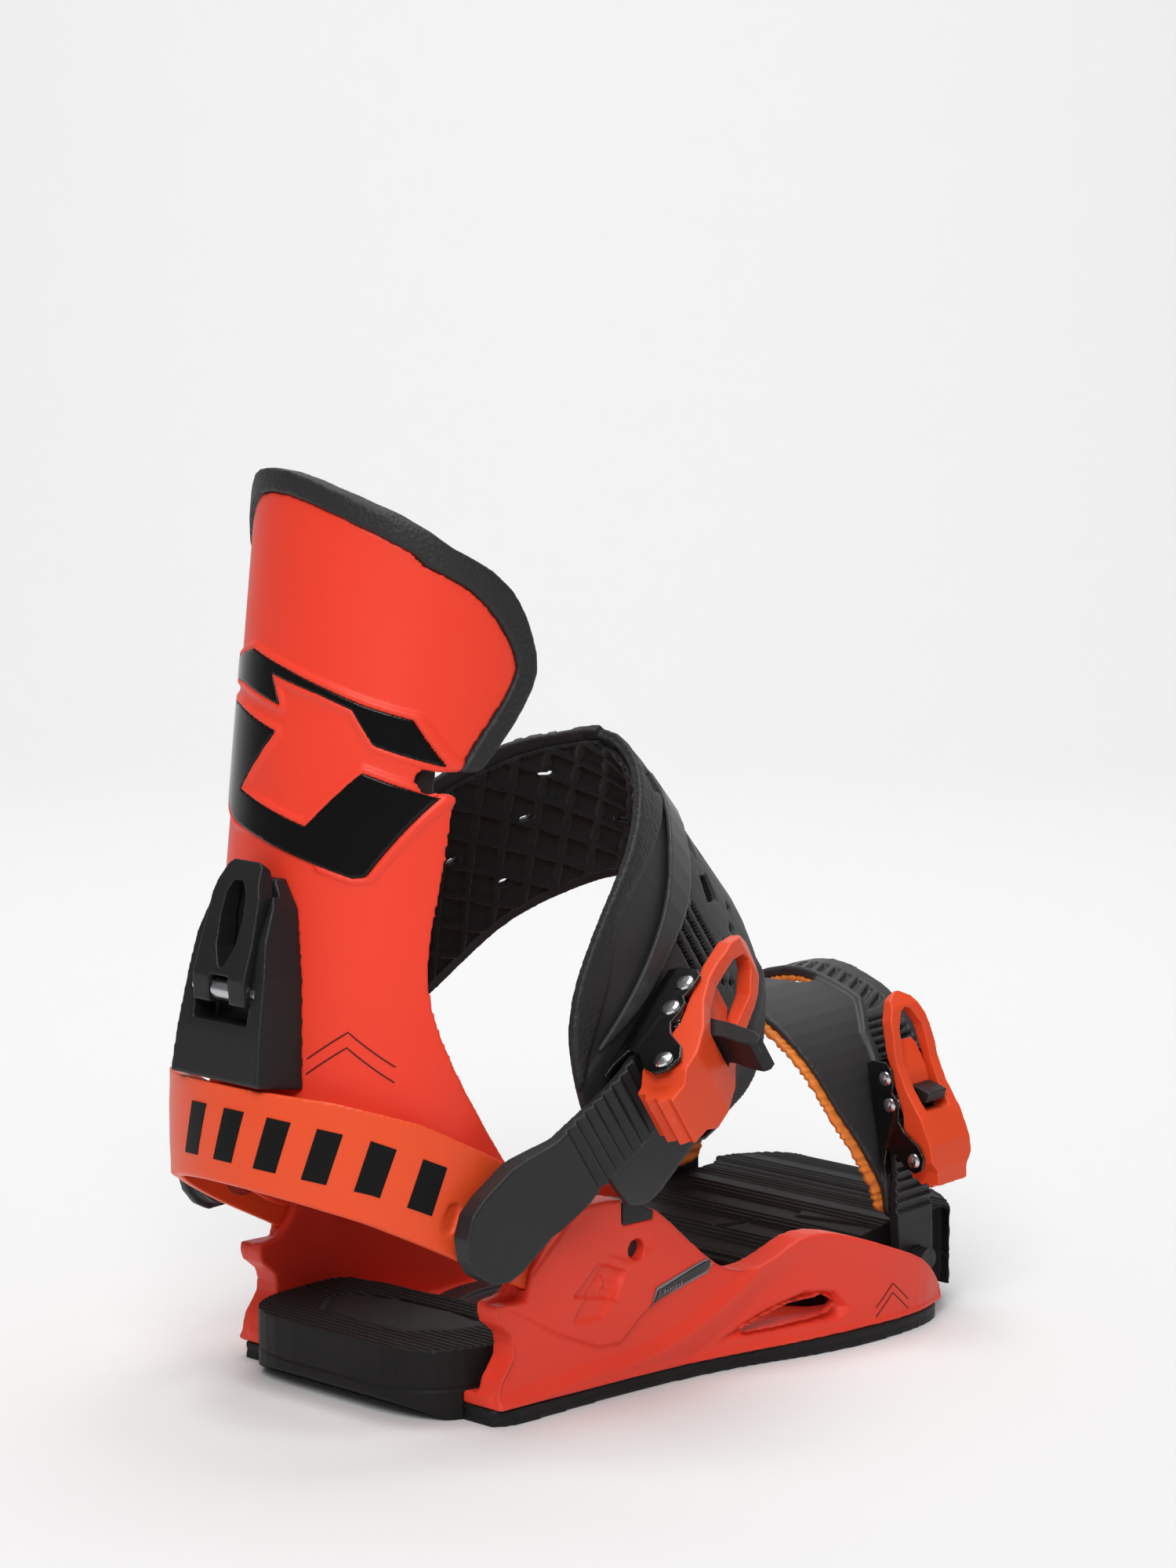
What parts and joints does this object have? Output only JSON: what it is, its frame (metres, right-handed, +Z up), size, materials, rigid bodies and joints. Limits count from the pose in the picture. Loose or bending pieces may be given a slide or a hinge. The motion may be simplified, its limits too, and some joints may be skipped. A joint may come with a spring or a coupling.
{
  "type": "snowboard strap binding",
  "caption": "Right-foot snowboard strap binding with folding highback, forward-lean block, ratchet ankle and toe straps, extending toe ramp and turning mounting disc.",
  "frame": {"origin": "centre of the mounting disc on the board's surface", "axes": "+X towards the toes, +Y towards the medial (big toe) side, +Z up from the board"},
  "size_m": [0.2888, 0.1701, 0.2807],
  "materials": {
    "orange_nylon": "satin moulded, slightly pebbled",
    "loop_nylon": "satin moulded",
    "sole_rubber": "matt",
    "rim_rubber": "matt, fine grain",
    "black_nylon": "satin",
    "inlay_film": "smooth, semi-gloss",
    "strap_rubber": "matt, grained",
    "ladder_polymer": "satin",
    "strap_foam": "knit-faced foam",
    "orange_foam": "soft, wrinkled edge",
    "buckle_plate": "gloss black lacquer",
    "lever_alloy": "satin paint on cast alloy",
    "steel": "zinc plated",
    "rivet_steel": "polished",
    "spring_steel": "bright wire"
  },
  "bodies": {
    "base": {"sole_dampener": "sole_rubber", "baseplate": "orange_nylon", "heel_pad": "sole_rubber", "toe_pad": "sole_rubber", "wing_insert_lateral": "black_nylon", "wing_insert_medial": "black_nylon", "wing_plugs": "black_nylon", "heel_loop": "loop_nylon", "heel_loop_screws": "steel", "ankle_pivot_bolts": "steel", "ankle_pivot_washers": "black_nylon", "highback_pivot_bolts": "steel", "toe_pivot_bolts": "steel"},
    "disc": {"mounting_disc": "black_nylon"},
    "ramp": {"toe_ramp": "sole_rubber"},
    "highback": {"highback_shell": "orange_nylon", "highback_rim": "rim_rubber", "highback_pad": "strap_foam", "upper_inlay": "inlay_film", "lower_inlay": "inlay_film"},
    "lean_adjuster": {"lean_block": "black_nylon", "lean_clamp_screw": "steel", "lean_nut_plate": "steel", "lean_lever_pin": "steel"},
    "lean_lever": {"lean_lever": "black_nylon"},
    "ankle_strap": {"ankle_ladder": "ladder_polymer", "ankle_strap_shell": "strap_rubber", "ankle_strap_liner": "strap_foam", "ankle_strap_rib": "strap_rubber", "ankle_connector": "strap_rubber", "ankle_connector_screw": "steel", "ankle_buckle_frame": "buckle_plate", "ankle_buckle_rivets": "rivet_steel", "ankle_pawl_spring": "spring_steel"},
    "ankle_lever": {"ankle_buckle_lever": "lever_alloy"},
    "ankle_pawl": {"ankle_buckle_pawl": "lever_alloy", "ankle_release_tab": "black_nylon"},
    "toe_strap": {"toe_ladder": "ladder_polymer", "toe_strap_shell": "strap_rubber", "toe_strap_liner": "orange_foam", "toe_connector": "strap_rubber", "toe_connector_screw": "steel", "toe_buckle_frame": "buckle_plate", "toe_buckle_rivets": "rivet_steel", "toe_pawl_spring": "spring_steel"},
    "toe_lever": {"toe_buckle_lever": "lever_alloy"},
    "toe_pawl": {"toe_buckle_pawl": "lever_alloy", "toe_release_tip": "black_nylon"}
  },
  "joints": [
    {"name": "disc_turn", "type": "hinge", "parent": "base", "child": "disc", "pos_m": [0, 0, 0], "axis": [0, 0, 1], "continuous": true},
    {"name": "ramp_slide", "type": "slide", "parent": "base", "child": "ramp", "axis": [1, 0, 0], "range_m": [0, 0.012]},
    {"name": "highback_fold", "type": "hinge", "parent": "base", "child": "highback", "pos_m": [-0.072, 0, 0.058], "axis": [0, 1, 0], "range_deg": [0, 45]},
    {"name": "lean_slide", "type": "slide", "parent": "highback", "child": "lean_adjuster", "axis": [0.1149, 0, 0.9934], "range_m": [0, 0.007]},
    {"name": "lean_lever_flip", "type": "hinge", "parent": "lean_adjuster", "child": "lean_lever", "pos_m": [-0.1404, 0, 0.13051], "axis": [0, -1, 0], "range_deg": [0, 95]},
    {"name": "ankle_strap_swing", "type": "hinge", "parent": "base", "child": "ankle_strap", "pos_m": [-0.092, 0, 0.06], "axis": [0, 1, 0], "range_deg": [0, 19.81]},
    {"name": "ankle_lever_open", "type": "hinge", "parent": "ankle_strap", "child": "ankle_lever", "pos_m": [-0.03755, -0.08453, 0.09673], "axis": [0.5592, 0, -0.829], "range_deg": [0, 55]},
    {"name": "ankle_pawl_release", "type": "hinge", "parent": "ankle_strap", "child": "ankle_pawl", "pos_m": [-0.01183, -0.06772, 0.11407], "axis": [-0.5592, 0, 0.829], "range_deg": [0, 14], "stiffness_Nm_per_rad": 0.03, "springref_deg": -11.46},
    {"name": "toe_strap_swing", "type": "hinge", "parent": "base", "child": "toe_strap", "pos_m": [0.099, 0, 0.02], "axis": [0, 1, 0], "range_deg": [0, 19.81]},
    {"name": "toe_lever_open", "type": "hinge", "parent": "toe_strap", "child": "toe_lever", "pos_m": [0.09651, -0.0658, 0.05568], "axis": [0.9976, 0, 0.0698], "range_deg": [0, 55]},
    {"name": "toe_pawl_release", "type": "hinge", "parent": "toe_strap", "child": "toe_pawl", "pos_m": [0.09474, -0.05484, 0.08086], "axis": [-0.9976, 0, -0.0698], "range_deg": [0, 14], "stiffness_Nm_per_rad": 0.02, "springref_deg": -11.46}
  ],
  "couplings": [
    {"joint": "ankle_strap_swing", "follows": "highback_fold", "ratio": 0.44},
    {"joint": "toe_strap_swing", "follows": "highback_fold", "ratio": 0.44}
  ]
}
